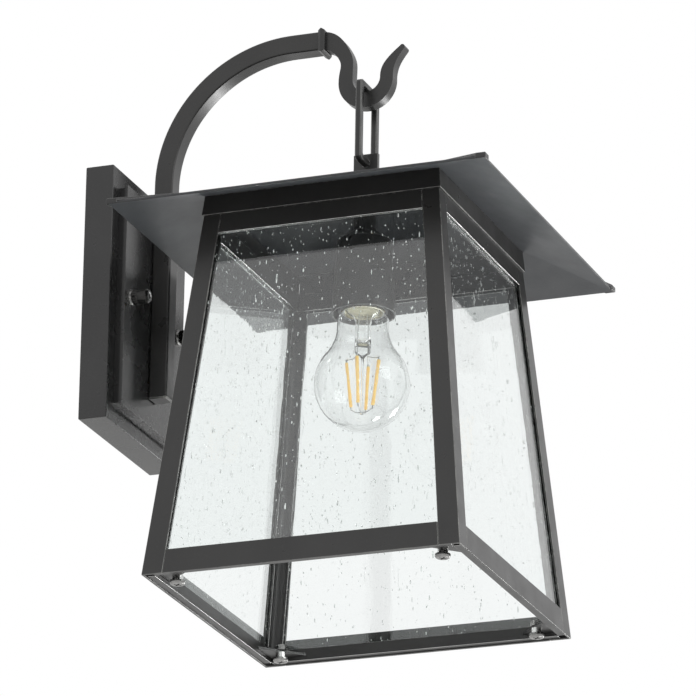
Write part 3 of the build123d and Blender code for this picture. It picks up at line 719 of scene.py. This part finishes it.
def bulb_profile(wall):
    """The glass from the globe's lowest point to its top, wall mm inside the outer skin."""
    radius = GLOBE_RADIUS - wall
    steps = 30
    points = [(0.0, GLOBE_Z - radius)]
    for i in range(1, steps + 1):
        lift = -math.pi / 2 + (math.pi / 2 + SHOULDER_LIFT) * i / steps
        points.append((radius * math.cos(lift), GLOBE_Z + radius * math.sin(lift)))
    shoulder = points[-1]
    waist = (WAIST[0] - wall, WAIST[1])
    neck = (NECK[0] - wall, NECK[1])
    collar = (COLLAR_RADIUS - wall, COLLAR_Z)
    way = (-math.sin(SHOULDER_LIFT) * 15.0, math.cos(SHOULDER_LIFT) * 15.0)
    points += hermite(shoulder, way, waist, (-1.4, 12.0), 12)
    points += hermite(waist, (-0.9, 8.0), neck, (0.0, 6.0), 6)
    points += hermite(neck, (0.0, 5.0), collar, (-5.0, 1.6), 12)
    points.append((collar[0], GLASS_TOP))
    return points


def bulb_piece(name, work, look, replaced, angle=60.0):
    """A smooth piece of the bulb, its faces turned outwards."""
    bmesh.ops.recalc_face_normals(work, faces=work.faces)
    make_piece(name, work, "bulb", look, replaced, angle, weighted=False)


def build_envelope():
    work = bmesh.new()
    profile = bulb_profile(0.0) + list(reversed(bulb_profile(GLASS_WALL)))
    turned(work, scaled(profile), AXIS, segments=96)
    bmesh.ops.remove_doubles(work, verts=work.verts, dist=1e-8)
    bulb_piece("bulb_envelope", work, "bulb", ("bulb_glass",), 50.0)


def build_screw_base():
    """The rolled thread, a thin skin with a collar below and a rounded shoulder on top."""
    low = COLLAR_Z + 1.2
    high = BASE_TOP - 2.0
    thread_low = COLLAR_Z + 3.0
    thread_high = BASE_TOP - 4.0
    run_in = 8
    count = 64

    def thread(reach, height, turn):
        span = (height / MM - thread_low) / (thread_high - thread_low)
        depth = THREAD_DEPTH * max(0.0, min(1.0, span * run_in, (1 - span) * run_in))
        wave = 0.5 + 0.5 * math.cos(2 * math.pi * height / THREAD_PITCH - turn)
        return reach - depth * wave

    outer = [(BASE_RADIUS - 0.35, COLLAR_Z)]
    outer += [(BASE_RADIUS, COLLAR_Z + 0.25), (BASE_RADIUS, COLLAR_Z + 0.8)]
    outer += [(BASE_RADIUS, low + (high - low) * i / count) for i in range(count + 1)]
    outer += [(12.4, BASE_TOP - 0.7), (11.4, BASE_TOP), (10.8, BASE_TOP)]
    inner = [(12.6, high)]
    inner += [(BASE_RADIUS - 0.45, high + (low - high) * i / count) for i in range(1, count + 1)]
    inner += [(BASE_RADIUS - 0.6, COLLAR_Z)]
    work = bmesh.new()
    turned(work, scaled(outer + inner), AXIS, segments=72, closed=True, wobble=thread)
    bulb_piece("bulb_screw_base", work, "base", ("bulb_base_shell",), 50.0)


def build_cement():
    """The cement that fills the base's mouth round the glass."""
    work = bmesh.new()
    fill = [(0, -11.0), (11.9, -11.0), (12.4, -11.6), (12.4, -8.0), (0, -8.0)]
    turned(work, scaled(fill), AXIS)
    bmesh.ops.recalc_face_normals(work, faces=work.faces)
    make_piece("bulb_cement", work, "bulb", "cement", angle=40.0)


def build_stem():
    """A flare and a hollow tube, then a flat pinch, a support rod and its button. Each
    section is (height, half width, half depth)."""
    bore = [
        (-33.2, 0.4, 0.3), (-31.8, 3.6, 2.2), (-30.0, 4.2, 4.0), (-20.0, 4.4, 4.4),
        (-17.0, 5.4, 5.4), (-14.5, 7.7, 7.7), (-13.0, 10.0, 10.0), (-12.1, 10.4, 10.4),
    ]
    flare = [(-12.1, 11.0, 11.0), (-13.0, 10.6, 10.6), (-14.5, 8.2, 8.2), (-17.0, 5.9, 5.9)]
    tube = [(-20.0, 4.9, 4.9), (-30.0, 4.7, 4.7)]
    pinch = [(-32.5, 4.9, 3.2), (-35.0, 4.9, 1.6), (-39.5, 4.8, 1.3), (-41.0, 4.1, 1.3)]
    support = [(-42.2, 1.8, 1.2), (-43.5, 0.8, 0.8), (-60.0, 0.7, 0.7), (-77.6, 0.7, 0.7)]
    button = [(-78.3, 1.2, 1.2), (-79.4, 1.4, 1.4), (-80.4, 1.1, 1.1)]
    sections = bore + flare + tube + pinch + support + button
    steps = 3
    dense = [sections[0]]
    for a, b in zip(sections, sections[1:]):
        for step in range(1, steps + 1):
            dense.append(tuple(p + (q - p) * step / steps for p, q in zip(a, b)))
    work = bmesh.new()
    rings = [[work.verts.new(on_axis(-33.5))]]
    segments = 28
    for height, wide, deep in dense:
        rings.append([
            work.verts.new(on_axis(height) + around(
                STEM_WIDE * (wide * MM), STEM_DEEP * (deep * MM), 2 * math.pi * k / segments))
            for k in range(segments)
        ])
    rings.append([work.verts.new(on_axis(-80.8))])
    skin_rings(work, rings)
    bulb_piece("bulb_stem_glass", work, "bulb", ("bulb_stem",))


def build_filaments(metal):
    """Four phosphor rods splayed towards the base. Their metal ends go into metal, and their
    upper and lower ends are handed back."""
    rods = bmesh.new()
    tops, lows = [], []
    bare = 1.4 * MM       # how far the phosphor stops short of an end
    stub = 0.6 * MM       # how far the metal runs past it
    overlap = 1.9 * MM    # how far the metal reaches in from it
    rod_radius = 1.05 * MM
    pin_radius = 0.5 * MM
    for index in range(4):
        turn = math.radians(2.0 + 90.0 * index)
        out = Vector((math.cos(turn), math.sin(turn), 0))
        top = on_axis(FILAMENT_TOP[1]) + out * (FILAMENT_TOP[0] * MM)
        low = on_axis(FILAMENT_LOW[1]) + out * (FILAMENT_LOW[0] * MM)
        tops.append(top)
        lows.append(low)
        along = (low - top).normalized()
        rod(rods, top + along * bare, low - along * bare, rod_radius, 16, 0.6)
        rod(metal, top - along * stub, top + along * overlap, pin_radius, 8)
        rod(metal, low - along * overlap, low + along * stub, pin_radius, 8)
    # the rods carry the phosphor look's painted glow
    bulb_piece("bulb_filament_rods", rods, "phosphor", ("bulb_filaments",))
    return tops, lows


def build_wires(metal, tops, lows):
    """Two lead wires out of the pinch, each to two filaments, and four wires from the
    support rod to the filaments' lower ends."""
    wire = 0.28 * MM
    branch = 0.26 * MM
    hub = on_axis(-79.3)
    pinch = on_axis(-40.0)
    for sign, pair in ((1, (3, 0)), (-1, (1, 2))):
        root = pinch + STEM_WIDE * (sign * 3.2 * MM)
        lead = [
            root + UP * (26.0 * MM) - STEM_WIDE * (sign * 0.6 * MM),
            root + UP * (8.0 * MM), root, root - UP * (2.6 * MM),
        ]
        tube_along(metal, lead, wire)
        start = root - UP * (2.4 * MM)
        for index in pair:
            middle = start.lerp(tops[index], 0.5) - UP * (0.5 * MM)
            tube_along(metal, [start, middle, tops[index]], branch)
    for low in lows:
        middle = hub.lerp(low, 0.55) - UP * (1.1 * MM)
        tube_along(metal, [hub, middle, low - UP * (0.4 * MM)], wire)
    bulb_piece("bulb_wires", metal, "zinc", ("bulb_support_wires",))


def build_bulb():
    build_envelope()
    build_screw_base()
    build_cement()
    build_stem()
    metal = bmesh.new()
    tops, lows = build_filaments(metal)
    build_wires(metal, tops, lows)


build_bulb()


# ------------------------------------------------------ floor, light, camera

FLOOR_Z = -2.3
FLOOR_RADIUS = 14.0
LIGHTS_AIM = Vector((0, -0.16, -0.03))
# name: place, size, power in watts
SOFTBOXES = {
    "softbox_low": ((0.86, -0.47, -1.25), (0.34, 0.24), 2.2),
    "softbox_front": ((-0.5, -2.3, 0.6), (1.1, 1.1), 9.0),
    "softbox_side": ((1.9, -0.9, -0.76), (0.55, 0.4), 9.0),
}
# The camera as it was solved from the photo's straight edges: place, angles, lens.
CAMERA_PLACE = (-3.23204, -1.40765, -1.28210)
YAW = 0.369189
PITCH = 0.345446
ROLL = 0.016964
SENSOR_WIDTH = 36.0
LENS = 304.98


def build_stage():
    """A pale floor far below, an even white room and three softboxes."""
    mesh = bpy.data.meshes.new("floor")
    work = bmesh.new()
    bmesh.ops.create_circle(work, cap_ends=True, segments=96, radius=FLOOR_RADIUS)
    work.to_mesh(mesh)
    work.free()
    floor = bpy.data.objects.new("floor", mesh)
    floor.location.z = FLOOR_Z
    bpy.context.scene.collection.objects.link(floor)
    mesh.materials.append(finish_of(
        "pale_floor", (rgb(0.86, 0.86, 0.85), rgb(0.89, 0.89, 0.88)), (0.75, 0.9),
        [(40.0, 0.3 * MM, EVEN)], patch=3.0))

    world = bpy.data.worlds.new("studio")
    world.use_nodes = True
    background = world.node_tree.nodes["Background"]
    background.inputs["Color"].default_value = rgb(1.0, 1.0, 1.0)
    background.inputs["Strength"].default_value = 1.0
    bpy.context.scene.world = world

    for name, (place, size, power) in SOFTBOXES.items():
        light = bpy.data.lights.new(name, "AREA")
        light.shape = "RECTANGLE"
        light.size, light.size_y = size
        light.energy = power
        lamp = bpy.data.objects.new(name, light)
        lamp.location = place
        lamp.rotation_mode = "QUATERNION"
        lamp.rotation_quaternion = (LIGHTS_AIM - Vector(place)).to_track_quat("-Z", "Y")
        bpy.context.scene.collection.objects.link(lamp)


def build_camera():
    data = bpy.data.cameras.new("camera")
    data.sensor_width = SENSOR_WIDTH
    data.lens = LENS
    data.clip_start = 0.1
    data.clip_end = 60.0
    camera = bpy.data.objects.new("camera", data)
    level = Vector((math.cos(YAW), math.sin(YAW), 0))
    ahead = around(level, UP, PITCH)
    right = ahead.cross(UP).normalized()
    upright = right.cross(ahead)
    across = around(right, upright, ROLL)
    top = around(upright, -right, ROLL)
    turn = Matrix((across, top, -ahead)).transposed().to_4x4()
    camera.matrix_world = Matrix.Translation(CAMERA_PLACE) @ turn
    bpy.context.scene.collection.objects.link(camera)
    bpy.context.scene.camera = camera


build_stage()
build_camera()
scene = bpy.context.scene
scene.view_settings.view_transform = "Standard"
scene.view_settings.look = "None"
scene.cycles.max_bounces = 20
scene.cycles.transmission_bounces = 18
scene.cycles.transparent_max_bounces = 32
scene.cycles.diffuse_bounces = 3
scene.cycles.glossy_bounces = 4
